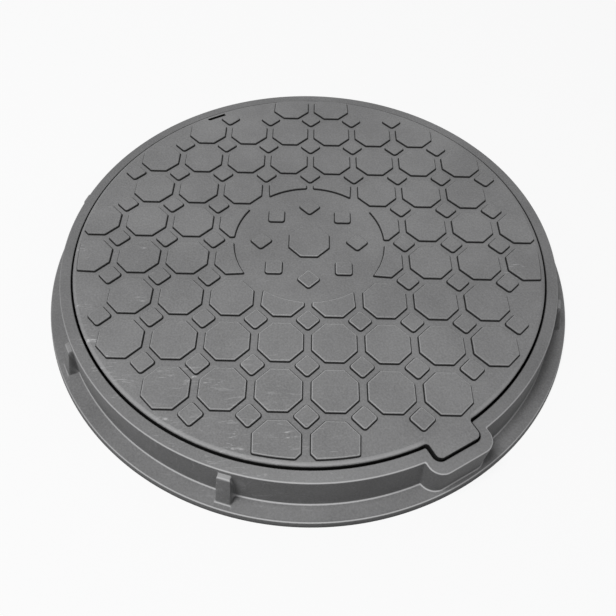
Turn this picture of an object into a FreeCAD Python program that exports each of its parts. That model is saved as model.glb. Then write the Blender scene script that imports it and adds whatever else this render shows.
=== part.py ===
import FreeCAD, Part
import math
import os

# Septic tank cover: a round moulded frame, and a lid that rests loose in it.
# Millimetres. Z is up, the origin is the middle of the frame's underside,
# and the lid's tab points along +X.

# Frame, as a ring section
frame_height = 60.0
rim_width = 14.9
wall_draft = 6.0
flange_reach = 23.2
flange_thickness = 9.0
flange_edge_draft = 2.2
seat_height = 20.0
seat_width = 22.0

# Lugs round the frame's wall
lug_places = 8
lug_width = 14.6
lug_side_draft = 2.5
lug_drop = 8.5
lug_top_fall = 2.5
lug_top_reach = 5.2
lug_foot_reach = 13.6

# Lid
lid_radius = 319.0
rim_gap = 2.5
lid_rise = 4.0
bevel_width = 5.0
bevel_drop = 2.0
plate_thickness = 11.0
edge_wall = 12.0

# Tab on the lid, and the frame's pocket round it
tab_width = 58.0
tab_reach = 21.0
tab_depth = 22.0
tab_corner_radius = 7.0
tab_root_radius = 5.0
tab_end_gap = 2.0
pocket_floor_gap = 1.0
pocket_side_wall = 10.0
pocket_end_wall = 13.0
bulge_corner_radius = 18.0
bulge_draft = 6.0

# Slot for a pry bar near the lid's edge, opposite the tab
slot_length = 30.0
slot_breadth = 5.2
slot_margin = 7.6
slot_depth = 18.0

# Cells between the ribs under the lid
rib_width = 7.0
cell_draft = 1.5

# Tread on the lid
pitch = 65.4
pad_height = 3.0
pad_draft = 0.8
octagon_flats = 56.0
square_side = 23.0
square_corner_cut = 2.5
tread_angle = 60.0
tread_margin = 1.3
medallion_radius = 103.0
rosette_radius = 66.0
rosette_count = 8

# Worked out from the sizes above
UP = FreeCAD.Vector(0, 0, 1)
ORIGIN = FreeCAD.Vector(0, 0, 0)
rim_inner_radius = lid_radius + rim_gap
rim_outer_radius = rim_inner_radius + rim_width
wall_foot_radius = rim_outer_radius + wall_draft
flange_radius = wall_foot_radius + flange_reach
opening_radius = rim_inner_radius - seat_width
lid_face = frame_height + lid_rise
plate_underside = lid_face - plate_thickness
tab_end = lid_radius + tab_reach
tab_underside = lid_face - tab_depth
pocket_end = tab_end + tab_end_gap
pocket_half_width = tab_width / 2 + rim_gap
tread_radius = lid_radius - bevel_width - tread_margin
cell_side = pitch - rib_width
full_turn = 360.0
overlap = 1.0


def vector(x, y, z=0.0):
    return FreeCAD.Vector(x, y, z)


def revolved(section):
    """Turns a closed outline of (radius, height) points about Z."""
    points = [vector(radius, 0, height) for radius, height in section]
    face = Part.Face(Part.makePolygon(points + points[:1]))
    return face.revolve(ORIGIN, UP, full_turn)


def turned(shape, angle):
    """A copy of a shape, turned about Z."""
    copy = shape.copy()
    copy.rotate(ORIGIN, UP, angle)
    return copy


def rounded_end(start, end, half_width, corner_radius, height):
    """Flat outline of a tongue along +X whose two outer corners are arcs."""
    radius = min(corner_radius, half_width - overlap)
    corner_x = end - radius
    corner_y = half_width - radius
    reach = radius * math.sqrt(0.5)
    right_bend = Part.Arc(
        vector(corner_x, -half_width, height),
        vector(corner_x + reach, -corner_y - reach, height),
        vector(end, -corner_y, height),
    )
    left_bend = Part.Arc(
        vector(end, corner_y, height),
        vector(corner_x + reach, corner_y + reach, height),
        vector(corner_x, half_width, height),
    )
    edges = [
        Part.LineSegment(vector(start, -half_width, height), vector(corner_x, -half_width, height)).toShape(),
        right_bend.toShape(),
        Part.LineSegment(vector(end, -corner_y, height), vector(end, corner_y, height)).toShape(),
        left_bend.toShape(),
        Part.LineSegment(vector(corner_x, half_width, height), vector(start, half_width, height)).toShape(),
        Part.LineSegment(vector(start, half_width, height), vector(start, -half_width, height)).toShape(),
    ]
    return Part.Wire(edges)


def tongue(start, end, half_width, corner_radius, low, high):
    """An upright tongue along +X between two heights."""
    outline = rounded_end(start, end, half_width, corner_radius, low)
    return Part.Face(outline).extrude(vector(0, 0, high - low))


def upright_edges_near(shape, radius, half_width):
    """The upright edges where a tongue's sides leave the round body."""
    found = []
    for edge in shape.Edges:
        box = edge.BoundBox
        upright = box.ZLength > overlap and box.XLength < overlap / 10 and box.YLength < overlap / 10
        at_side = abs(abs(box.YMin) - half_width) < overlap / 10
        at_root = abs(math.hypot(box.XMin, box.YMin) - radius) < overlap / 10
        if upright and at_side and at_root:
            found.append(edge)
    return found


def disc_with_tongue(radius, end, half_width, corner_radius, root_radius, low, high):
    """A round body with a tongue, and fillets in the two corners where they meet."""
    disc = Part.makeCylinder(radius, high - low, vector(0, 0, low))
    joined = disc.fuse(tongue(radius / 2, end, half_width, corner_radius, low, high)).removeSplitter()
    return joined.makeFillet(root_radius, upright_edges_near(joined, radius, half_width))


def frame_ring():
    return revolved([
        (opening_radius, 0),
        (flange_radius, 0),
        (flange_radius - flange_edge_draft, flange_thickness),
        (wall_foot_radius, flange_thickness),
        (rim_outer_radius, frame_height),
        (rim_inner_radius, frame_height),
        (rim_inner_radius, seat_height),
        (opening_radius, seat_height),
    ])


def frame_bulge():
    """The wall that bulges out round the tab's pocket, wider at its foot."""
    end = pocket_end + pocket_end_wall
    half_width = pocket_half_width + pocket_side_wall
    top = rounded_end(rim_inner_radius, end, half_width, bulge_corner_radius, frame_height)
    foot = rounded_end(
        rim_inner_radius,
        end + bulge_draft,
        half_width + bulge_draft,
        bulge_corner_radius + bulge_draft,
        0,
    )
    return Part.makeLoft([foot, top], True, True)


def frame_lug():
    """One tapered lug at +X: a leaning profile, cut to a width that grows towards its foot."""
    inside = rim_inner_radius + rim_width / 2
    top_inner = frame_height - lug_drop
    top_outer = top_inner - lug_top_fall
    profile = [
        (inside, flange_thickness - overlap),
        (wall_foot_radius + lug_foot_reach, flange_thickness - overlap),
        (wall_foot_radius + lug_foot_reach, flange_thickness),
        (rim_outer_radius + lug_top_reach, top_outer),
        (rim_outer_radius, top_inner),
        (inside, top_inner),
    ]
    reach = lug_width * 2
    points = [vector(radius, -reach, height) for radius, height in profile]
    side = Part.Face(Part.makePolygon(points + points[:1]))
    body = side.extrude(vector(0, 2 * reach, 0))
    half_top = lug_width / 2
    half_foot = half_top + lug_side_draft
    width = [
        (-half_foot, 0),
        (half_foot, 0),
        (half_top, frame_height),
        (-half_top, frame_height),
    ]
    corners = [vector(inside - overlap, y, z) for y, z in width]
    front = Part.Face(Part.makePolygon(corners + corners[:1]))
    return body.common(front.extrude(vector(flange_radius, 0, 0)))


def frame_well():
    """The room that the lid drops into: the round well above the seat, and the tab's pocket."""
    pocket_floor = tab_underside - pocket_floor_gap
    return disc_with_tongue(
        rim_inner_radius,
        pocket_end,
        pocket_half_width,
        tab_corner_radius + rim_gap,
        tab_root_radius - rim_gap,
        pocket_floor,
        frame_height + overlap,
    )


def make_frame():
    lug = frame_lug()
    step = full_turn / lug_places
    lugs = [turned(lug, step * place) for place in range(1, lug_places)]
    outside = frame_ring().fuse([frame_bulge()] + lugs)
    return outside.cut(frame_well()).removeSplitter()


def lid_disc():
    """The round body with its bevelled edge, which stands on the seat. Its seam lies away from the tab."""
    disc = revolved([
        (0, seat_height),
        (lid_radius, seat_height),
        (lid_radius, lid_face - bevel_drop),
        (lid_radius - bevel_width, lid_face),
        (0, lid_face),
    ])
    return turned(disc, full_turn / 4)


def lid_tab():
    """The tab, with the fillets that blend its sides into the lid's edge."""
    body = disc_with_tongue(
        lid_radius,
        tab_end,
        tab_width / 2,
        tab_corner_radius,
        tab_root_radius,
        tab_underside,
        lid_face,
    )
    inner = lid_radius - bevel_width
    half_width = tab_width / 2 + tab_root_radius
    window = Part.makeBox(
        tab_reach + bevel_width + overlap,
        2 * half_width,
        tab_depth,
        vector(inner, -half_width, tab_underside),
    )
    return body.common(window)


def frustum(low, high):
    """A solid between two flat outlines that have the same number of corners."""
    faces = [Part.Face(Part.makePolygon(level + level[:1])) for level in (low, high)]
    for corner in range(len(low)):
        side = [low[corner - 1], low[corner], high[corner], high[corner - 1]]
        faces.append(Part.Face(Part.makePolygon(side + side[:1])))
    return Part.Solid(Part.Shell(faces))


def quarter_turns(corners, height):
    """An outline made of a few corners and their copies at each quarter turn."""
    points = []
    for turn in range(4):
        spin = FreeCAD.Rotation(UP, 90.0 * turn)
        points += [spin.multVec(vector(x, y, height)) for x, y in corners]
    return points


def square(side, height):
    return quarter_turns([(side / 2, side / 2)], height)


def cut_square(side, cut, height):
    """A square whose corners are cut off at 45 degrees."""
    half = side / 2
    short = half - cut
    return quarter_turns([(half, -short), (half, short)], height)


def lattice(offset):
    """Points of a square lattice that reaches past the lid's edge."""
    reach = math.ceil(lid_radius / pitch)
    steps = [(step + offset) * pitch for step in range(-reach, reach + 1)]
    return [(x, y) for x in steps for y in steps]


def placed(shape, x, y):
    """A copy of a shape, moved on the tread's own axes."""
    copy = shape.copy()
    copy.translate(vector(x, y))
    return turned(copy, tread_angle)


def lid_cells():
    """The hollows between the ribs, where a whole cell fits inside the edge wall."""
    cell = frustum(
        square(cell_side, seat_height - overlap),
        square(cell_side - 2 * cell_draft, plate_underside),
    )
    cells = []
    for x, y in lattice(0.5):
        far_corner = math.hypot(abs(x) + cell_side / 2, abs(y) + cell_side / 2)
        if far_corner < lid_radius - edge_wall:
            cells.append(placed(cell, x, y))
    return cells


def pad(side, cut):
    """A raised pad whose sides all lean in alike, rooted a little below the lid's face."""
    levels = []
    for height in (-overlap, pad_height):
        inset = pad_draft * height / pad_height
        level_cut = cut - inset * (2 - math.sqrt(2))
        levels.append(cut_square(side - 2 * inset, level_cut, lid_face + height))
    return frustum(*levels)


def octagon_pad():
    return pad(octagon_flats, octagon_flats * (1 - math.sqrt(0.5)))


def square_pad():
    return turned(pad(square_side, square_corner_cut), 45.0)


def repeated(shape, offset):
    """Copies of a pad on the lattice, where their centres lie well inside the tread's ring."""
    furthest = tread_radius - square_side / 2
    centres = [(x, y) for x, y in lattice(offset) if medallion_radius < math.hypot(x, y) < furthest]
    return [placed(shape, x, y) for x, y in centres]


def tread_ring():
    """The ring that the tread keeps to: pads are cut off upright at its two circles."""
    low = lid_face - overlap
    high = lid_face + pad_height
    return revolved([
        (medallion_radius, low),
        (tread_radius, low),
        (tread_radius, high),
        (medallion_radius, high),
    ])


def rosette():
    """Plain pads in the medallion: an octagon in a ring of squares."""
    square_out = placed(square_pad(), rosette_radius, 0)
    step = full_turn / rosette_count
    ring = [turned(square_out, step * place) for place in range(rosette_count)]
    return [placed(octagon_pad(), 0, 0)] + ring


def lid_tread():
    pads = repeated(octagon_pad(), 0.5) + repeated(square_pad(), 0.0)
    return Part.makeCompound(pads).common(tread_ring()).Solids + rosette()


def pry_slot():
    """A blind slot that a pry bar's tip goes into."""
    return Part.makeBox(
        slot_breadth,
        slot_length,
        slot_depth + overlap,
        vector(slot_margin - lid_radius, -slot_length / 2, lid_face - slot_depth),
    )


def make_lid():
    body = lid_disc().fuse(lid_tab()).cut([pry_slot()] + lid_cells())
    return body.fuse(lid_tread()).removeSplitter()


def save(name, shape):
    shape.exportStep(os.path.join("parts", name + ".step"))


def main():
    os.makedirs("parts", exist_ok=True)
    save("frame", make_frame())
    save("lid", make_lid())


main()
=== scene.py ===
"""Looks of a septic tank cover: a round plastic frame, and a lid that rests loose in it."""

import math

import bmesh
import bpy
from mathutils import Matrix, Vector
from mathutils.geometry import delaunay_2d_cdt


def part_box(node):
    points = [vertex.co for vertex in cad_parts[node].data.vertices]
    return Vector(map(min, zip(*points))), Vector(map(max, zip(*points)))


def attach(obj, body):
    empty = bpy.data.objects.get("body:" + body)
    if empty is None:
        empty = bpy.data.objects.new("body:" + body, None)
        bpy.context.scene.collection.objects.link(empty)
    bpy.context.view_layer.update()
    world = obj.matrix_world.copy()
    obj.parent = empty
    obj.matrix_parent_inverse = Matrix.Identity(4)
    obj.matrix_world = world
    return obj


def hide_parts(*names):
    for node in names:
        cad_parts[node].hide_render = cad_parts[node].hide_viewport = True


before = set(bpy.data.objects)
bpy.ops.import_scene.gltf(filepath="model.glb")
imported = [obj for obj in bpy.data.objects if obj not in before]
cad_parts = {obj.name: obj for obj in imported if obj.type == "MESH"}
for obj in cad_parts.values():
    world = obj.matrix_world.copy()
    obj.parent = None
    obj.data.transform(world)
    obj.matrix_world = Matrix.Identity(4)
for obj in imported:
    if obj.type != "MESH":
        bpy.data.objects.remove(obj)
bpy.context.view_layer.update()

# Sizes in millimetres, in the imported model's own frame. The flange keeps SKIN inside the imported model,
# and the rim lies RIM_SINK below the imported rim.
MM = 0.001
SKIN = 0.1
frame_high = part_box("frame")[1] / MM
lid_low, lid_high = [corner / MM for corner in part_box("lid")]

RIM_SINK = 0.6
FRAME_HEIGHT = frame_high.z - RIM_SINK
FLANGE_RADIUS = frame_high.y - SKIN
FLANGE_THICKNESS = 9.0
FLANGE_EDGE_DRAFT = 2.2
RIM_WIDTH = 14.9
WALL_DRAFT = 6.0
SEAT_HEIGHT = lid_low.z
SEAT_WIDTH = 22.0

LID_RADIUS = 318.7
RIM_GAP = 2.8
PAD_HEIGHT = 3.0
LID_FACE = lid_high.z - PAD_HEIGHT
PLATE_THICKNESS = 11.0
BEVEL_WIDTH = 5.0
BEVEL_DROP = 2.5
BEVEL_CURVE = 1.3
BEVEL_STEPS = 5
LID_STEPS = 250

TAB_END = lid_high.x
TAB_HALF_WIDTH = 29.0
TAB_DEPTH = 22.0
TAB_CORNER = 7.0
TAB_ROOT = 5.0
POCKET_END_GAP = 2.0
POCKET_FLOOR_GAP = 1.0
BULGE_END_WALL = 14.5
BULGE_SIDE_WALL = 10.6
BULGE_CORNER = 18.0
BULGE_ROOT = 2.0
BULGE_DRAFT = 0.8

SLOT_HALF_LENGTH = 15.0
SLOT_BREADTH = 5.2
SLOT_MARGIN = 7.3
SLOT_DEPTH = 18.0
SLOT_CORNER = 1.0

LUG_PLACES = 8
LUG_HALF_WIDTH = 7.3
LUG_SIDE_DRAFT = 2.5
LUG_DROP = 5.9
LUG_TOP_FALL = 1.2
LUG_TOP_REACH = 6.2
LUG_FOOT_REACH = 13.6

PITCH = 65.4
OCTAGON_FLATS = 56.0
SQUARE_SIDE = 23.0
PAD_DRAFT = 0.8
TREAD_ANGLE = math.radians(60)
TREAD_RADIUS = 312.7
MEDALLION_RADIUS = 103.0
ROSETTE_RADIUS = 66.0
ROSETTE_COUNT = 8
RIB_WIDTH = 7.0
CELL_DRAFT = 1.5
EDGE_WALL = 12.0

# A pad's corner this close to a cut gives way to it
CLIP_SNAP = 3.0

# Small rounds that a mould leaves on its edges
SMALLEST_ROUND = 0.3
OCTAGON_CORNER_ROUND = 2.6
SQUARE_CORNER_ROUND = 4.0
PAD_EDGE_ROUND = 1.1
PAD_FOOT_ROUND = 0.5
PAD_RIM = 0.2
SLOT_RIM = 0.05
LID_EDGE_ROUND = 0.7
RIM_INNER_ROUND = 1.0
RIM_OUTER_ROUND = 1.6
WALL_FOOT_ROUND = 1.8
LIP_ROUND = 1.4

# Worked out from the sizes above
RIM_INNER = LID_RADIUS + RIM_GAP
RIM_OUTER = RIM_INNER + RIM_WIDTH
OPENING_RADIUS = RIM_INNER - SEAT_WIDTH
PLATE_UNDERSIDE = LID_FACE - PLATE_THICKNESS
TAB_UNDERSIDE = LID_FACE - TAB_DEPTH
POCKET_FLOOR = TAB_UNDERSIDE - POCKET_FLOOR_GAP
POCKET_END = TAB_END + POCKET_END_GAP
POCKET_HALF_WIDTH = TAB_HALF_WIDTH + RIM_GAP
BEVEL_FADE = 2 * TAB_ROOT
CELL_HALF = (PITCH - RIB_WIDTH) / 2

# Painted highlights on edges, rounds and flat faces: how pale each is, and how fast that falls off away
# from the front, where the painted highlight is strongest
HIGHLIGHT_AZIMUTH = math.radians(330)
HIGHLIGHT_SIDE = Vector((math.cos(HIGHLIGHT_AZIMUTH), math.sin(HIGHLIGHT_AZIMUTH)))
HIGHLIGHT_LEAST = 0.15
HIGHLIGHT_FALL = 2
FLAT_HIGHLIGHT_FALL = 8
RIM_HIGHLIGHT = 0.15
FLANGE_HIGHLIGHT = 0.08
PAD_HIGHLIGHT = 0.35
BEVEL_HIGHLIGHT = 0.42

# Painted shade: the lid's side is painted dark up to a little below the rim, and lighter on the round above
# it; the flange's foot is painted darker too
DARK_BELOW_RIM = 1.0
LID_EDGE_LIGHT = 0.7
FLANGE_FOOT_PAINTED_SHADE = 0.6

# Mesh: tolerances of the fill in millimetres and of the merge in metres, how edges are shaded, which turn
# of an outline is a corner, and how much of its sides a corner's round may take
FILL_TOLERANCE = 1e-6
MERGE_DISTANCE = 1e-6
SHARP_ANGLE = math.radians(40)
FACE_WEIGHT = 100
CORNER_ANGLE = math.radians(15)
CORNER_REACH = 0.48
LEAST_NORMAL = 1e-6

# Camera in the photo's 616 by 616 picture, fitted to the cover's circles and tread
CAMERA_PLACE = Vector((0.47397, -0.28009, 0.68727))
CAMERA_RIGHT = Vector((0.48370, 0.87518, 0.00958))
CAMERA_FORWARD = Vector((-0.50255, 0.28668, -0.81563))
CAMERA_LENS = 35.014
CAMERA_SENSOR = 36.0
CAMERA_SHIFT = (0.00976, -0.00311)
CAMERA_NEAR = 0.01


def each(value, count):
    """One value for each point, from a list or from a single value."""
    return value if isinstance(value, list) else [value] * count


def encloses(outline, point):
    """Whether a closed outline goes round a point."""
    inside = False
    for i, end in enumerate(outline):
        start = outline[i - 1]
        if (start.y > point.y) != (end.y > point.y):
            share = (point.y - start.y) / (end.y - start.y)
            inside ^= point.x < start.x + share * (end.x - start.x)
    return inside


def painted_highlight_share(point):
    """How strong a painted highlight is: fully at the front of the cover, less towards its back."""
    towards = max(HIGHLIGHT_SIDE.dot(point.xy.normalized()), 0.0)
    return HIGHLIGHT_LEAST + (1 - HIGHLIGHT_LEAST) * towards ** HIGHLIGHT_FALL


def flat_painted_highlight(strength, outline):
    """How strong the painted highlight on a flat face of the frame is at each station: only at the very
    front.
    """
    towards = [max(HIGHLIGHT_SIDE.dot(point.normalized()), 0.0) for point in outline]
    return [strength * share ** FLAT_HIGHLIGHT_FALL for share in towards]


class Builder:
    """Collects the points and faces of one mesh, with a painted shade and a painted highlight value for
    each point.
    """

    def __init__(self):
        self.points = []
        self.faces = []
        self.painted_shade = []
        self.edge = []

    def loop(self, points, painted_shade=0.0, edge=0.0):
        """Adds points; returns their places in the mesh."""
        start = len(self.points)
        self.points += [Vector(point) for point in points]
        self.painted_shade += each(painted_shade, len(points))
        self.edge += each(edge, len(points))
        return list(range(start, len(self.points)))

    def level(self, outline, height, painted_shade=0.0, edge=0.0):
        """A flat loop at one height, or at a height for each point."""
        points = [(point.x, point.y, z) for point, z in zip(outline, each(height, len(outline)))]
        return self.loop(points, painted_shade, edge)

    def bridge(self, low, high):
        """A band of quads between two closed loops with as many points."""
        for i in range(len(low)):
            self.faces.append((low[i - 1], low[i], high[i], high[i - 1]))

    def skin(self, loops):
        """Bands between each loop and the next."""
        for low, high in zip(loops, loops[1:]):
            self.bridge(low, high)

    def fill(self, outer, holes=()):
        """Triangles over a flat face, which may have holes."""
        indices = []
        sides = []
        owners = []
        for number, loop in enumerate([outer, *holes]):
            start = len(indices)
            indices += loop
            owners += [number] * len(loop)
            sides += [(start + i, start + (i + 1) % len(loop)) for i in range(len(loop))]
        flat = [self.points[index].xy for index in indices]
        outlines = [[self.points[index].xy for index in hole] for hole in holes]
        inside_only = 1
        result = delaunay_2d_cdt(flat, sides, [], inside_only, FILL_TOLERANCE)
        triangles = result[2]
        origins = result[3]
        for triangle in triangles:
            corners = [origins[corner][0] for corner in triangle]
            first = owners[corners[0]]
            one_hole = first > 0 and all(owners[corner] == first for corner in corners)
            middle = sum((flat[corner] for corner in corners), Vector((0, 0))) / 3
            if not (one_hole and encloses(outlines[first - 1], middle)):
                self.faces.append(tuple(indices[corner] for corner in corners))

    def build(self, name):
        """The finished object, with smooth rounds and flat faces."""
        mesh = bpy.data.meshes.new(name)
        mesh.from_pydata([point * MM for point in self.points], [], self.faces)
        # Both layers are painted light: one darkens creases and hollows as painted shade, the other pales
        # edges as painted highlight, strongest at the front of the cover
        shine = [edge * painted_highlight_share(point) for edge, point in zip(self.edge, self.points)]
        for label, values in (("painted_shade", self.painted_shade), ("edge", shine)):
            layer = mesh.attributes.new(label, "FLOAT", "POINT")
            layer.data.foreach_set("value", values)
        tidy = bmesh.new()
        tidy.from_mesh(mesh)
        bmesh.ops.remove_doubles(tidy, verts=tidy.verts, dist=MERGE_DISTANCE)
        bmesh.ops.recalc_face_normals(tidy, faces=tidy.faces)
        tidy.to_mesh(mesh)
        tidy.free()
        mesh.polygons.foreach_set("use_smooth", [True] * len(mesh.polygons))
        mesh.set_sharp_from_angle(angle=SHARP_ANGLE)
        piece = bpy.data.objects.new(name, mesh)
        bpy.context.scene.collection.objects.link(piece)
        weighted = piece.modifiers.new("weighted_normals", "WEIGHTED_NORMAL")
        weighted.weight = FACE_WEIGHT
        weighted.keep_sharp = True
        return piece


def polar(radius, angle):
    """The point at a distance and an angle from the origin."""
    return Vector((radius * math.cos(angle), radius * math.sin(angle)))


def span(start, end, steps):
    """Evenly spaced values, both ends included."""
    return [start + (end - start) * step / steps for step in range(steps + 1)]


def arc(centre, radius, start, end, steps):
    """Points along an arc round a centre, both ends included."""
    return [centre + polar(radius, angle) for angle in span(start, end, steps)]


# Stations round a tongue: along its end, its corner, its side and its root
END_STEPS = 8
CORNER_STEPS = 12
SIDE_STEPS = 4
ROOT_STEPS = 10
HALF_TONGUE = END_STEPS + CORNER_STEPS + SIDE_STEPS + ROOT_STEPS
LEAD_STEPS = 6
LEAD_END = math.radians(14)


def half_tongue(ring, end, half_width, corner, root):
    """The +Y half of a tongue's outline, from the middle of its end to the ring it grows from."""
    bend = Vector((end - corner, half_width - corner))
    root_y = half_width + root
    hollow = Vector((math.sqrt((ring + root) ** 2 - root_y ** 2), root_y))
    points = [Vector((end, y)) for y in span(0, bend.y, END_STEPS)]
    if hollow.x < bend.x:
        points += arc(bend, corner, 0, math.pi / 2, CORNER_STEPS)[1:]
        points += [Vector((x, half_width)) for x in span(bend.x, hollow.x, SIDE_STEPS)][1:]
        hollow_start = 1.5 * math.pi
    else:
        hollow = outer_meeting(bend, corner + root, ring + root)
        away = hollow - bend
        points += arc(bend, corner, 0, math.atan2(away.y, away.x), CORNER_STEPS + SIDE_STEPS)[1:]
        hollow_start = math.pi + math.atan2(away.y, away.x)
    hollow_end = math.pi + math.atan2(hollow.y, hollow.x)
    points += arc(hollow, root, hollow_start, hollow_end, ROOT_STEPS)[1:]
    return points


def outer_meeting(centre, reach, radius):
    """Where a circle round a centre meets a circle round the origin, on the +Y side."""
    distance = centre.length
    along = (radius ** 2 - reach ** 2 + distance ** 2) / (2 * distance)
    across = math.sqrt(radius ** 2 - along ** 2)
    direction = centre / distance
    return direction * along + Vector((-direction.y, direction.x)) * across


def mirrored(points):
    """Points on the other side of the X axis."""
    return [Vector((point.x, -point.y)) for point in points]


def tongue_loop(ring, end, half_width, corner, root, angles):
    """A whole outline: the ring at the given angles, with its tongue along +X."""
    half = half_tongue(ring, end, half_width, corner, root)
    root_angle = math.atan2(half[-1].y, half[-1].x)
    lead = [polar(ring, angle) for angle in span(root_angle, LEAD_END, LEAD_STEPS)[1:-1]]
    upper = half + lead
    return upper + [polar(ring, angle) for angle in angles] + mirrored(upper[:0:-1])


def projected(outline, radius):
    """The stations of an outline, moved in or out to a circle."""
    return [point.normalized() * radius for point in outline]


def round_steps(radius, steps=4):
    """(Setback, drop) along a quarter round from a flat top to an upright side."""
    return [
        (radius * (1 - math.sin(angle)), radius * (1 - math.cos(angle)))
        for angle in span(0, math.pi / 2, steps)
    ]


def crest(setback, drop, radius):
    """1 halfway along a quarter round, and 0 at its two ends."""
    return 2 * (1 - setback / radius) * (1 - drop / radius)


def turned(point, angle):
    """A point turned round the origin."""
    return Vector((
        point.x * math.cos(angle) - point.y * math.sin(angle),
        point.x * math.sin(angle) + point.y * math.cos(angle),
    ))


# Tread pads

def octagon():
    """The foot of an octagon pad, round the origin."""
    reach = OCTAGON_FLATS / 2 / math.cos(math.pi / 8)
    return [polar(reach, math.pi / 8 + math.pi / 4 * corner) for corner in range(8)]


def diamond():
    """The foot of a square pad, round the origin and on its corner."""
    reach = SQUARE_SIDE / math.sqrt(2)
    return [polar(reach, math.pi / 2 * corner) for corner in range(4)]


def crossings(start, end, radius):
    """Places along a segment, from 0 to 1, where it crosses a circle round the origin."""
    step = end - start
    a = step.dot(step)
    b = 2 * start.dot(step)
    c = start.dot(start) - radius ** 2
    root = b * b - 4 * a * c
    if root <= 0:
        return []
    both = [(-b - math.sqrt(root)) / (2 * a), (-b + math.sqrt(root)) / (2 * a)]
    return [place for place in both if 0 < place < 1]


def arc_between(start, end, radius, steps=10):
    """Points between two points of a circle round the origin, without its ends."""
    first = math.atan2(start.y, start.x)
    turn = math.remainder(math.atan2(end.y, end.x) - first, 2 * math.pi)
    return [polar(radius, first + turn * step / steps) for step in range(1, steps)]


def clipped(points, radius, keep_inside):
    """An outline cut off at a circle round the origin. A corner close to the cut gives way to it."""
    kept = [(point.length < radius) == keep_inside for point in points]
    if all(kept):
        return points
    first = kept.index(True)
    points = points[first:] + points[:first]
    kept = kept[first:] + kept[:first]
    result = []
    cuts = []
    for i, start in enumerate(points):
        end = points[(i + 1) % len(points)]
        if kept[i]:
            result.append(start)
        for place in crossings(start, end, radius):
            cuts.append(start.lerp(end, place))
            if len(cuts) % 2 == 0:
                result += [cuts[-2], *arc_between(cuts[-2], cuts[-1], radius), cuts[-1]]
    if (cuts[0] - cuts[1]).length < 2 * CLIP_SNAP:
        return points
    clear = [min((point - cut).length for cut in cuts) > CLIP_SNAP for point in result]
    return [point for point, free in zip(result, clear) if free or point in cuts]


def sharp_corners(points):
    """Which points of an outline are corners, and not places along an arc."""
    flags = []
    for i, corner in enumerate(points):
        back = points[i - 1] - corner
        ahead = points[(i + 1) % len(points)] - corner
        flags.append(math.pi - back.angle(ahead) > CORNER_ANGLE)
    return flags


def rounded(points, flags, radius, steps=4):
    """An outline with its corners turned into arcs."""
    result = []
    for i, corner in enumerate(points):
        if not flags[i]:
            result.append(corner)
            continue
        back = points[i - 1] - corner
        ahead = points[(i + 1) % len(points)] - corner
        turn = math.pi - back.angle(ahead)
        longest = CORNER_REACH * min(back.length, ahead.length)
        reach = min(radius * math.tan(turn / 2), longest)
        start = corner + back.normalized() * reach
        inwards = (back.normalized() + ahead.normalized()).normalized()
        centre = corner + inwards * (reach / math.sin(turn / 2))
        sweep = turn if back.cross(ahead) < 0 else -turn
        result += [centre + turned(start - centre, angle) for angle in span(0, sweep, steps)]
    return result


def inset(points, distance):
    """An outline moved inwards, each corner along the bisector of its sides."""
    result = []
    for i, point in enumerate(points):
        before = (point - points[i - 1]).normalized()
        after = (points[(i + 1) % len(points)] - point).normalized()
        normal = Vector((-before.y - after.y, before.x + after.x))
        normal /= max(normal.dot(normal) / 2, LEAST_NORMAL)
        result.append(point + normal * distance)
    return result


def lattice(offset):
    """Places over the whole lid, one pitch apart, moved by a share of the pitch."""
    reach = math.ceil(LID_RADIUS / PITCH)
    steps = [(step + offset) * PITCH for step in range(-reach, reach + 1)]
    return [Vector((x, y)) for x in steps for y in steps]


def tread_pads():
    """(Foot outline, corner radius) of each pad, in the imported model's frame."""
    pads = []
    furthest = TREAD_RADIUS - SQUARE_SIDE / 2
    kinds = [(octagon(), 0.5, OCTAGON_CORNER_ROUND), (diamond(), 0.0, SQUARE_CORNER_ROUND)]
    for shape, offset, corner in kinds:
        for centre in lattice(offset):
            if MEDALLION_RADIUS < centre.length < furthest:
                outline = clipped([centre + point for point in shape], TREAD_RADIUS, True)
                pads.append((clipped(outline, MEDALLION_RADIUS, False), corner))
    pads.append((octagon(), OCTAGON_CORNER_ROUND))
    for place in range(ROSETTE_COUNT):
        turn = 2 * math.pi / ROSETTE_COUNT * place
        square = [turned(Vector((ROSETTE_RADIUS, 0)) + point, turn) for point in diamond()]
        pads.append((square, SQUARE_CORNER_ROUND))
    return [([turned(point, TREAD_ANGLE) for point in outline], corner) for outline, corner in pads]


def pad_levels():
    """(Setback from the foot outline, rise, painted shade, painted highlight) up a pad's side: the side is
    painted dark, with a painted highlight on the round at its top.
    """
    levels = [(-PAD_FOOT_ROUND - PAD_RIM, 0.0, 0.0, 0.0)]
    for setback, rise in round_steps(PAD_FOOT_ROUND, 3):
        levels.append((-setback, rise, 1.0, 0.0))
    for setback, drop in reversed(round_steps(PAD_EDGE_ROUND, 3)):
        rise = PAD_HEIGHT - drop
        painted_shade = drop / PAD_EDGE_ROUND
        edge = PAD_HIGHLIGHT * (1 - painted_shade)
        levels.append((PAD_DRAFT * rise / PAD_HEIGHT + setback, rise, painted_shade, edge))
    levels.append((PAD_DRAFT + PAD_EDGE_ROUND + PAD_RIM, PAD_HEIGHT, 0.0, 0.0))
    return levels


def add_pad(builder, outline, corner):
    """One raised pad; returns the loop where it leaves the lid's face."""
    flags = sharp_corners(outline)
    loops = []
    for setback, rise, painted_shade, edge in pad_levels():
        ring = rounded(inset(outline, setback), flags, max(corner - setback, SMALLEST_ROUND))
        loops.append(builder.level(ring, LID_FACE + rise, painted_shade, edge))
    builder.skin(loops)
    builder.fill(loops[-1])
    return loops[0]


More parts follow.
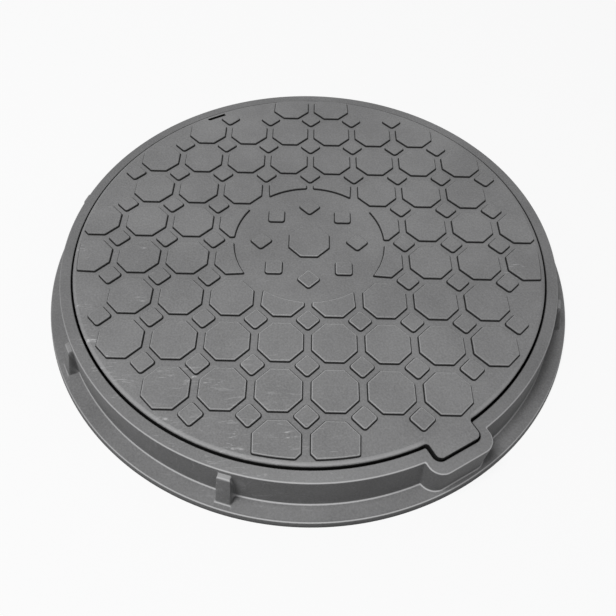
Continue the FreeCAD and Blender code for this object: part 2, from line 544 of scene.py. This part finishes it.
def add_cell(builder, centre):
    """One hollow between the ribs underneath; returns the loop of its mouth."""
    loops = []
    for height, shrink in ((SEAT_HEIGHT, 0.0), (PLATE_UNDERSIDE, CELL_DRAFT)):
        reach = (CELL_HALF - shrink) * math.sqrt(2)
        corners = [centre + polar(reach, math.pi / 4 + math.pi / 2 * turn) for turn in range(4)]
        loops.append(builder.level([turned(corner, TREAD_ANGLE) for corner in corners], height))
    builder.skin(loops)
    builder.fill(loops[-1])
    return loops[0]


def add_slot(builder):
    """The blind slot for a pry bar; returns the loop of its mouth."""
    inner = SLOT_MARGIN + SLOT_BREADTH - LID_RADIUS
    outer = SLOT_MARGIN - LID_RADIUS
    half = SLOT_HALF_LENGTH
    places = [(inner, -half), (inner, half), (outer, half), (outer, -half)]
    corners = [Vector(place) for place in places]
    outline = rounded(corners, sharp_corners(corners), SLOT_CORNER)
    # Painted shade: the slot's walls are painted dark
    loops = [
        builder.level(inset(outline, -SLOT_RIM), LID_FACE),
        builder.level(outline, LID_FACE, painted_shade=1.0),
        builder.level(outline, LID_FACE - SLOT_DEPTH, painted_shade=1.0),
    ]
    builder.skin(loops)
    builder.fill(loops[-1])
    return loops[0]


def lid_outline(setback, angles):
    """The outline of the lid and its tab, made smaller for a round."""
    return tongue_loop(
        LID_RADIUS - setback,
        TAB_END - setback,
        TAB_HALF_WIDTH - setback,
        TAB_CORNER - setback,
        TAB_ROOT + setback,
        angles,
    )


def bevel_shares(outline):
    """How far the lid's edge drops at each station: not on the tab, and fully a little way past it."""
    shares = []
    for point in outline:
        near_tab = point.x > 0
        past = (abs(point.y) - TAB_HALF_WIDTH) / BEVEL_FADE
        share = min(max(past, 0.0), 1.0) if near_tab else 1.0
        shares.append(share * share * (3 - 2 * share))
    return shares


def make_lid():
    """The lid's shell: its side, bevel, face with pads and slot, and underside with cells."""
    builder = Builder()
    angles = span(LEAD_END, 2 * math.pi - LEAD_END, LID_STEPS)
    edge = lid_outline(0, angles)
    shares = bevel_shares(edge)
    # Painted shade: the lid's side is painted dark up to a little below the rim, so the gap reads black
    loops = [
        builder.level(projected(edge, LID_RADIUS - LID_EDGE_ROUND), SEAT_HEIGHT),
        builder.level(projected(edge, LID_RADIUS), SEAT_HEIGHT + LID_EDGE_ROUND, painted_shade=1.0),
        builder.level(projected(edge, LID_RADIUS), TAB_UNDERSIDE, painted_shade=1.0),
        builder.level(edge, TAB_UNDERSIDE, painted_shade=1.0),
        builder.level(edge, FRAME_HEIGHT - DARK_BELOW_RIM, painted_shade=1.0),
    ]
    for setback, drop in reversed(round_steps(LID_EDGE_ROUND)):
        rim = lid_outline(setback, angles)
        heights = [LID_FACE - BEVEL_DROP * share - drop for share in shares]
        dark = math.sqrt(drop / LID_EDGE_ROUND)
        painted_shades = [dark * (1 - LID_EDGE_LIGHT * share) for share in shares]
        loops.append(builder.level(rim, heights, painted_shades))
    outer = lid_outline(LID_EDGE_ROUND, angles)
    inner = projected(edge, LID_RADIUS - BEVEL_WIDTH)
    # Painted highlight on the bevel, palest at the front of the cover
    for t in span(0, 1, BEVEL_STEPS)[1:]:
        band = [a.lerp(b, t) for a, b in zip(outer, inner)]
        heights = [LID_FACE - BEVEL_DROP * share * (1 - t) ** BEVEL_CURVE for share in shares]
        shine = [BEVEL_HIGHLIGHT * share * math.sqrt(1 - t) for share in shares]
        loops.append(builder.level(band, heights, edge=shine))
    builder.skin(loops)
    pads = [add_pad(builder, *pad) for pad in tread_pads()]
    builder.fill(loops[-1], pads + [add_slot(builder)])
    cells = []
    for centre in lattice(0.5):
        furthest = math.hypot(abs(centre.x) + CELL_HALF, abs(centre.y) + CELL_HALF)
        if furthest < LID_RADIUS - EDGE_WALL:
            cells.append(add_cell(builder, centre))
    builder.fill(loops[0], cells)
    return builder.build("lid_shell")


# Frame

# (Place across a lug, share of the lug's form there): a steep side with rounds at its foot and its edge
LUG_RAMP = [
    (9.8, 0.0), (8.7, 0.02), (8.1, 0.1), (7.8, 0.3),
    (7.5, 0.62), (7.1, 0.87), (6.5, 0.97), (5.6, 1.0),
]
# Rounds of a lug, as (outwards, upwards, painted highlight): at its root on the wall, its brow, and its
# foot
LUG_ROOT_RISE = 1.0
LUG_ROOT_ROUND = [(0.9, LUG_ROOT_RISE, 0.0), (1.3, 0.1, 0.7), (2.2, -0.8, 0.4)]
LUG_BROW_ROUND = [(-1.4, 0.6, 0.4), (-0.3, -0.1, 1.0), (0.4, -1.1, 0.5)]
LUG_FOOT_ROUND = [(-0.3, 1.2, 0.4), (0.5, 0.4, 1.0), (1.4, 0.0, 0.0)]
LUG_FRONT_OUT = 0.9
LUG_FRONT_CLEAR = 2.4
# Stations of the frame: the room a lug takes, the steps round the ring, down a lug's front and round the
# wall's foot, and the places across the flange
LUG_CLEAR = 12.3
RING_STEP = math.radians(1.5)
LUG_FRONT_STEPS = 8
FOOT_STEPS = 4
FLANGE_PLACES = (0.25, 0.5, 0.72, 0.88)


def lug_stations():
    """(Place across a lug, share of its form) from one side of it to the other."""
    left = [(-place, share) for place, share in LUG_RAMP]
    right = [(place, share) for place, share in reversed(LUG_RAMP)]
    return left + [(0.0, 1.0)] + right


def frame_stations():
    """(Angle, lug's angle, place across it, share of its form) for each ring station of the frame."""
    stations = []
    clear = LUG_CLEAR / RIM_OUTER
    start = LEAD_END
    centres = [2 * math.pi / LUG_PLACES * place for place in range(1, LUG_PLACES)]
    for centre in centres + [2 * math.pi - LEAD_END + clear]:
        end = centre - clear
        free = span(start, end, round((end - start) / RING_STEP))
        stations += [(angle, None, 0.0, 0.0) for angle in free]
        start = centre + clear
        if centre in centres:
            for across, share in lug_stations():
                stations.append((centre + across / RIM_OUTER, centre, across, share))
    return stations


def wall_outline(height, outwards, angles):
    """The wall's outline at one height, moved outwards for a round."""
    fall = FRAME_HEIGHT - height
    ring = RIM_OUTER + WALL_DRAFT * fall / (FRAME_HEIGHT - FLANGE_THICKNESS) + outwards
    lean = BULGE_DRAFT * fall / FRAME_HEIGHT + outwards
    return tongue_loop(
        ring,
        POCKET_END + BULGE_END_WALL + lean,
        POCKET_HALF_WIDTH + BULGE_SIDE_WALL + lean,
        BULGE_CORNER + lean,
        BULGE_ROOT,
        angles,
    )


def well_outline(outwards, angles):
    """The room for the lid and its tab, made wider for a round."""
    return tongue_loop(
        RIM_INNER + outwards,
        POCKET_END + outwards,
        POCKET_HALF_WIDTH + outwards,
        TAB_CORNER + RIM_GAP + outwards,
        TAB_ROOT - RIM_GAP - outwards,
        angles,
    )


def lug_profile():
    """(Reach, height, painted highlight) down the middle of a lug, from the wall over its top to the
    flange.
    """
    root = (RIM_OUTER, FRAME_HEIGHT - LUG_DROP)
    brow = (RIM_OUTER + LUG_TOP_REACH, FRAME_HEIGHT - LUG_DROP - LUG_TOP_FALL)
    foot = (RIM_OUTER + WALL_DRAFT + LUG_FOOT_REACH, FLANGE_THICKNESS)
    front_top = Vector((brow[0] + LUG_FRONT_OUT, brow[1] - LUG_FRONT_CLEAR))
    front_foot = Vector((foot[0] - LUG_FRONT_OUT, foot[1] + LUG_FRONT_CLEAR))
    front = [(*front_top.lerp(front_foot, t), 0.0) for t in span(0, 1, LUG_FRONT_STEPS)]
    rounds = []
    tables = (LUG_ROOT_ROUND, LUG_BROW_ROUND, LUG_FOOT_ROUND)
    for (reach, height), steps in zip((root, brow, foot), tables):
        rounds.append([(reach + out, height + up, edge) for out, up, edge in steps])
    return rounds[0] + rounds[1] + front + rounds[2]


def side_levels(count, lip_inner, angles):
    """(Outline, height, painted highlight) of the plain frame down its wall, round its foot and along the
    flange.
    """
    top = FRAME_HEIGHT - LUG_DROP + LUG_ROOT_RISE
    wall_count = count - (FOOT_STEPS + 1) - len(FLANGE_PLACES)
    levels = []
    for height in span(top, FLANGE_THICKNESS + WALL_FOOT_ROUND, wall_count)[:-1]:
        levels.append((wall_outline(height, 0, angles), height, 0.0))
    # Painted highlight along the round at the wall's foot
    for setback, rise in reversed(round_steps(WALL_FOOT_ROUND, FOOT_STEPS)):
        height = FLANGE_THICKNESS + rise
        edge = crest(setback, rise, WALL_FOOT_ROUND)
        levels.append((wall_outline(height, setback, angles), height, edge))
    foot = levels[-1][0]
    lip = projected(foot, lip_inner)
    # Painted highlight on the flange's flat, only at the front
    for place in FLANGE_PLACES:
        outline = [a.lerp(b, place) for a, b in zip(foot, lip)]
        levels.append((outline, FLANGE_THICKNESS, flat_painted_highlight(FLANGE_HIGHLIGHT, outline)))
    return levels


def with_lugs(outline, height, reach, lug_height, stations):
    """One level's points, with those on a lug moved out to its profile."""
    points = [Vector((point.x, point.y, height)) for point in outline]
    first = HALF_TONGUE + LEAD_STEPS
    spread = 1 + LUG_SIDE_DRAFT / LUG_HALF_WIDTH * (FRAME_HEIGHT - height) / FRAME_HEIGHT
    for i, (_, centre, across, share) in enumerate(stations):
        if centre is not None:
            y = across * spread
            plain = Vector((math.sqrt(outline[first + i].length_squared - y * y), y, height))
            point = plain.lerp(Vector((reach, y, lug_height)), share)
            points[first + i] = Matrix.Rotation(centre, 3, "Z") @ point
    return points


def with_lug_highlights(edge, lug_highlight, count, stations):
    """One level's painted highlight values, with those on a lug taken from its profile."""
    edges = list(each(edge, count))
    first = HALF_TONGUE + LEAD_STEPS
    for i, (_, _, _, share) in enumerate(stations):
        edges[first + i] += (lug_highlight - edges[first + i]) * share
    return edges


def make_frame():
    """The frame's shell: rim, wall with lugs, flange, underside, seat and well, as one closed band."""
    builder = Builder()
    stations = frame_stations()
    angles = [station[0] for station in stations]
    lip = FLANGE_RADIUS - FLANGE_EDGE_DRAFT
    loops = []
    # Painted highlight along the rim's outer round, and faintly on its flat top at the front
    for setback, drop in round_steps(RIM_OUTER_ROUND):
        height = FRAME_HEIGHT - drop
        outline = wall_outline(height, -setback, angles)
        shine = crest(setback, drop, RIM_OUTER_ROUND) if drop else flat_painted_highlight(RIM_HIGHLIGHT, outline)
        loops.append(builder.level(outline, height, edge=shine))
    profile = lug_profile()
    levels = side_levels(len(profile), lip - LIP_ROUND, angles)
    for (outline, height, edge), (reach, lug_height, lug_highlight) in zip(levels, profile):
        points = with_lugs(outline, height, reach, lug_height, stations)
        shine = with_lug_highlights(edge, lug_highlight, len(points), stations)
        loops.append(builder.loop(points, edge=shine))
    foot = wall_outline(FLANGE_THICKNESS, WALL_FOOT_ROUND, angles)
    # Painted highlight along the lip's round
    for setback, drop in round_steps(LIP_ROUND):
        radius = lip - setback + FLANGE_EDGE_DRAFT * drop / FLANGE_THICKNESS
        edge = crest(setback, drop, LIP_ROUND)
        loops.append(builder.level(projected(foot, radius), FLANGE_THICKNESS - drop, edge=edge))
    well = well_outline(0, angles)
    # Painted shade: the flange's outer foot, the seat, the well and the tab's pocket are painted dark
    loops += [
        builder.level(projected(foot, FLANGE_RADIUS), 0.0, painted_shade=FLANGE_FOOT_PAINTED_SHADE),
        builder.level(projected(well, OPENING_RADIUS), 0.0),
        builder.level(projected(well, OPENING_RADIUS), SEAT_HEIGHT, painted_shade=1.0),
        builder.level(projected(well, RIM_INNER), SEAT_HEIGHT, painted_shade=1.0),
        builder.level(projected(well, RIM_INNER), POCKET_FLOOR, painted_shade=1.0),
        builder.level(well, POCKET_FLOOR, painted_shade=1.0),
    ]
    # Painted shade down the rim's inner round, and painted highlight on the rim's flat top at the front
    for setback, drop in reversed(round_steps(RIM_INNER_ROUND)):
        outline = well_outline(setback, angles)
        shine = 0.0 if drop else flat_painted_highlight(RIM_HIGHLIGHT, outline)
        painted_shade = math.sqrt(drop / RIM_INNER_ROUND)
        loops.append(builder.level(outline, FRAME_HEIGHT - drop, painted_shade, shine))
    builder.skin(loops + loops[:1])
    return builder.build("frame_shell")


# Materials

# Sockets of the mix node when it mixes colours
MIX_SHARE = 0
MIX_FIRST = 6
MIX_SECOND = 7
MIX_COLOUR = 2

# Plastic: tones are linear greys, and those of the painted shade and painted highlight are shares of the
# plastic's own
FRAME_TONE = 0.18
LID_TONE = 0.21
BLUE_TINT = 1.01
ROUGHNESS = 0.6
SPECULAR = 0.13
CLOUD_SCALE = 9.0
GRAIN_SCALE = 420.0
MOTTLE_DEPTH = 0.2
SCUFF_STRENGTH = 0.8
PAINTED_SHADE_STRENGTH = 0.95
PAINTED_SHADE_TONE = 0.04
PAINTED_HIGHLIGHT_STRENGTH = 0.8
PAINTED_HIGHLIGHT_TONE = 4.0
BUMP_STRENGTH = 0.4
BUMP_DEPTH = 0.0004


class Nodes:
    """Short ways to add shader nodes to one material or world."""

    def __init__(self, tree):
        self.tree = tree
        tree.nodes.clear()

    def feed(self, socket, value):
        """Links a socket to an input, or sets the input to a value."""
        if isinstance(value, bpy.types.NodeSocket):
            self.tree.links.new(value, socket)
        else:
            socket.default_value = value

    def add(self, kind, **values):
        node = self.tree.nodes.new(kind)
        for name, value in values.items():
            setattr(node, name, value)
        return node

    def put(self, node, **inputs):
        """Links or sets inputs; an underscore in a name stands for a space."""
        for name, value in inputs.items():
            self.feed(node.inputs[name.replace("_", " ")], value)
        return node

    def maths(self, operation, *values):
        node = self.add("ShaderNodeMath", operation=operation)
        for socket, value in zip(node.inputs, values):
            self.feed(socket, value)
        return node.outputs["Value"]

    def noise(self, place, scale, detail=4.0, roughness=0.6, distortion=0.0):
        node = self.add("ShaderNodeTexNoise")
        self.put(node, Vector=place, Scale=scale, Detail=detail)
        self.put(node, Roughness=roughness, Distortion=distortion)
        return node.outputs["Fac"]

    def ramp(self, value, low, high, low_out=0.0, high_out=1.0):
        node = self.add("ShaderNodeMapRange", interpolation_type="SMOOTHSTEP")
        self.put(node, Value=value, From_Min=low, From_Max=high, To_Min=low_out, To_Max=high_out)
        return node.outputs["Result"]

    def attribute(self, name):
        return self.add("ShaderNodeAttribute", attribute_name=name).outputs["Fac"]

    def blend(self, share, first, second):
        node = self.add("ShaderNodeMix", data_type="RGBA")
        self.feed(node.inputs[MIX_SHARE], share)
        self.feed(node.inputs[MIX_FIRST], first)
        self.feed(node.inputs[MIX_SECOND], second)
        return node.outputs[MIX_COLOUR]


def grey(value):
    """A grey with a trace of blue."""
    return (value, value, value * BLUE_TINT, 1.0)


# Worn places on the lid: (x, y, reach) in millimetres, and how strongly each is worn. The core of each is
# worn fully, and the plastic elsewhere only a little.
WORN_PLACES = [
    (-139, -275, 16, 1.0), (-99, -208, 14, 1.0), (-16, -241, 16, 1.0), (235, -163, 22, 1.0),
    (105, -252, 20, 1.0), (117, -226, 20, 1.0), (134, -206, 20, 1.0), (-46, -308, 22, 1.0),
    (4, -311, 26, 1.0), (53, -308, 26, 1.0), (86, -303, 24, 1.0), (218, -216, 30, 1.0),
    (151, -277, 24, 1.0), (283, -134, 28, 1.0), (176, 215, 20, 1.0), (200, -200, 170, 0.3),
]
WORN_CORE = 0.2
WORN_ELSEWHERE = 0.07
SCUFF_SIZE = (0.02, 0.004, 0.02)
SCUFF_TURN = math.radians(62)
SCUFF_GREY = 0.6


def scuffs(nodes, place):
    """Pale streaks, thick at the worn places and faint elsewhere."""
    worn = WORN_ELSEWHERE
    for x, y, reach, strength in WORN_PLACES:
        gap = nodes.add("ShaderNodeVectorMath", operation="DISTANCE")
        gap.inputs[1].default_value = Vector((x, y, LID_FACE)) * MM
        nodes.tree.links.new(place, gap.inputs[0])
        near = nodes.ramp(
            gap.outputs["Value"], low=reach * MM, high=WORN_CORE * reach * MM, high_out=strength)
        worn = nodes.maths("MAXIMUM", worn, near)
    along = nodes.add("ShaderNodeMapping", vector_type="TEXTURE")
    nodes.put(along, Vector=place, Rotation=(0.0, 0.0, SCUFF_TURN), Scale=SCUFF_SIZE)
    streaks = nodes.noise(along.outputs["Vector"], scale=1.0, roughness=0.65, distortion=1.2)
    return nodes.maths("MULTIPLY", worn, nodes.ramp(streaks, low=0.54, high=0.72))


def plastic(name, tone):
    """Matte grey moulded plastic with mottling, a fine grain and scuffs, plus painted shade in creases and
    hollows and painted highlights on edges.
    """
    material = bpy.data.materials.new(name)
    material.use_nodes = True
    nodes = Nodes(material.node_tree)
    place = nodes.add("ShaderNodeTexCoord").outputs["Object"]
    cloud = nodes.noise(place, CLOUD_SCALE, detail=5.0)
    grain = nodes.noise(place, GRAIN_SCALE, detail=3.0, roughness=0.7)
    clouds = nodes.ramp(cloud, low=0.3, high=0.7, low_out=-0.5, high_out=0.5)
    grains = nodes.ramp(grain, low=0.2, high=0.8, low_out=-0.9, high_out=0.9)
    share = nodes.maths("MULTIPLY_ADD", nodes.maths("ADD", clouds, grains), 0.5, 0.5)
    colour = nodes.blend(share, grey(tone * (1 - MOTTLE_DEPTH)), grey(tone * (1 + MOTTLE_DEPTH)))
    layers = [
        # Painted shade darkens creases and hollows, and painted highlight pales edges and the front of the
        # cover; the scuffs are wear
        (scuffs(nodes, place), SCUFF_STRENGTH, SCUFF_GREY),
        (nodes.attribute("painted_shade"), PAINTED_SHADE_STRENGTH, tone * PAINTED_SHADE_TONE),
        (nodes.attribute("edge"), PAINTED_HIGHLIGHT_STRENGTH, tone * PAINTED_HIGHLIGHT_TONE),
    ]
    for cover, strength, shade in layers:
        colour = nodes.blend(nodes.maths("MULTIPLY", cover, strength), colour, grey(shade))
    bump = nodes.add("ShaderNodeBump")
    nodes.put(bump, Strength=BUMP_STRENGTH, Distance=BUMP_DEPTH, Height=grain)
    shader = nodes.put(
        nodes.add("ShaderNodeBsdfPrincipled"),
        Base_Color=colour,
        Roughness=ROUGHNESS,
        Specular_IOR_Level=SPECULAR,
        Normal=bump.outputs["Normal"],
    )
    output = nodes.add("ShaderNodeOutputMaterial")
    nodes.put(output, Surface=shader.outputs["BSDF"])
    return material


# Stage

# Floor, in metres and linear greys: what it sends back up, and its shaded tone under a share of plain white
FLOOR_SIZE = 40.0
FLOOR_CLEARANCE = 0.0003
FLOOR_BOUNCE = 0.15
FLOOR_TONE = 0.8
FLOOR_GLOW = 0.85
AMBIENT = 0.29


def seen_directly(nodes):
    """1 for camera, glossy and transmission rays, and 0 for the rays that carry light."""
    path = nodes.add("ShaderNodeLightPath").outputs
    shine = nodes.maths("MAXIMUM", path["Is Glossy Ray"], path["Is Transmission Ray"])
    return nodes.maths("MAXIMUM", path["Is Camera Ray"], shine)


def make_floor():
    """A plain white floor that keeps a soft shadow and sends little light back up."""
    bpy.ops.mesh.primitive_plane_add(size=FLOOR_SIZE, location=(0, 0, -FLOOR_CLEARANCE))
    floor = bpy.context.object
    floor.name = "floor"
    material = bpy.data.materials.new("floor_white")
    material.use_nodes = True
    nodes = Nodes(material.node_tree)
    bounce = nodes.put(nodes.add("ShaderNodeBsdfDiffuse"), Color=grey(FLOOR_BOUNCE))
    shaded = nodes.put(nodes.add("ShaderNodeBsdfDiffuse"), Color=grey(FLOOR_TONE))
    white = nodes.put(nodes.add("ShaderNodeEmission"), Color=(1, 1, 1, 1), Strength=1.0)
    look = nodes.put(nodes.add("ShaderNodeMixShader"), Fac=FLOOR_GLOW)
    nodes.tree.links.new(shaded.outputs["BSDF"], look.inputs[1])
    nodes.tree.links.new(white.outputs["Emission"], look.inputs[2])
    both = nodes.put(nodes.add("ShaderNodeMixShader"), Fac=seen_directly(nodes))
    nodes.tree.links.new(bounce.outputs["BSDF"], both.inputs[1])
    nodes.tree.links.new(look.outputs["Shader"], both.inputs[2])
    output = nodes.add("ShaderNodeOutputMaterial")
    nodes.put(output, Surface=both.outputs["Shader"])
    floor.data.materials.append(material)


def make_world():
    """White where it is seen, and an even dim light on the cover."""
    world = bpy.data.worlds.new("studio")
    bpy.context.scene.world = world
    world.use_nodes = True
    nodes = Nodes(world.node_tree)
    strength = nodes.maths("MULTIPLY_ADD", seen_directly(nodes), 1.0 - AMBIENT, AMBIENT)
    sky = nodes.put(nodes.add("ShaderNodeBackground"), Color=(1, 1, 1, 1), Strength=strength)
    output = nodes.add("ShaderNodeOutputWorld")
    nodes.put(output, Surface=sky.outputs["Background"])


def add_softbox(name, azimuth, elevation, distance, size, energy):
    """A square area lamp that looks at the cover from one direction."""
    lamp = bpy.data.lights.new(name, "AREA")
    lamp.size = size
    lamp.energy = energy
    level = polar(math.cos(math.radians(elevation)), math.radians(azimuth))
    direction = Vector((level.x, level.y, math.sin(math.radians(elevation))))
    holder = bpy.data.objects.new(name, lamp)
    holder.location = direction * distance
    holder.rotation_euler = direction.to_track_quat("Z", "Y").to_euler()
    bpy.context.scene.collection.objects.link(holder)


def make_camera():
    """The camera at the photo's viewing angle."""
    lens = bpy.data.cameras.new("camera")
    lens.lens = CAMERA_LENS
    lens.sensor_width = CAMERA_SENSOR
    lens.shift_x, lens.shift_y = CAMERA_SHIFT
    lens.clip_start = CAMERA_NEAR
    camera = bpy.data.objects.new("camera", lens)
    back = -CAMERA_FORWARD.normalized()
    right = (CAMERA_RIGHT - back * CAMERA_RIGHT.dot(back)).normalized()
    turn = Matrix((right, back.cross(right), back)).transposed().to_4x4()
    camera.matrix_world = Matrix.Translation(CAMERA_PLACE) @ turn
    bpy.context.scene.collection.objects.link(camera)
    bpy.context.scene.camera = camera


def dress(piece, node, material):
    """Puts a shell in the place of its node, with its material."""
    piece.data.materials.append(material)
    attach(piece, "root")
    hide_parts(node)


bpy.context.scene.view_settings.view_transform = "Standard"
dress(make_frame(), "frame", plastic("frame_grey", FRAME_TONE))
dress(make_lid(), "lid", plastic("lid_grey", LID_TONE))
make_floor()
make_world()
add_softbox("key", azimuth=268, elevation=68, distance=4.0, size=1.2, energy=105)
make_camera()
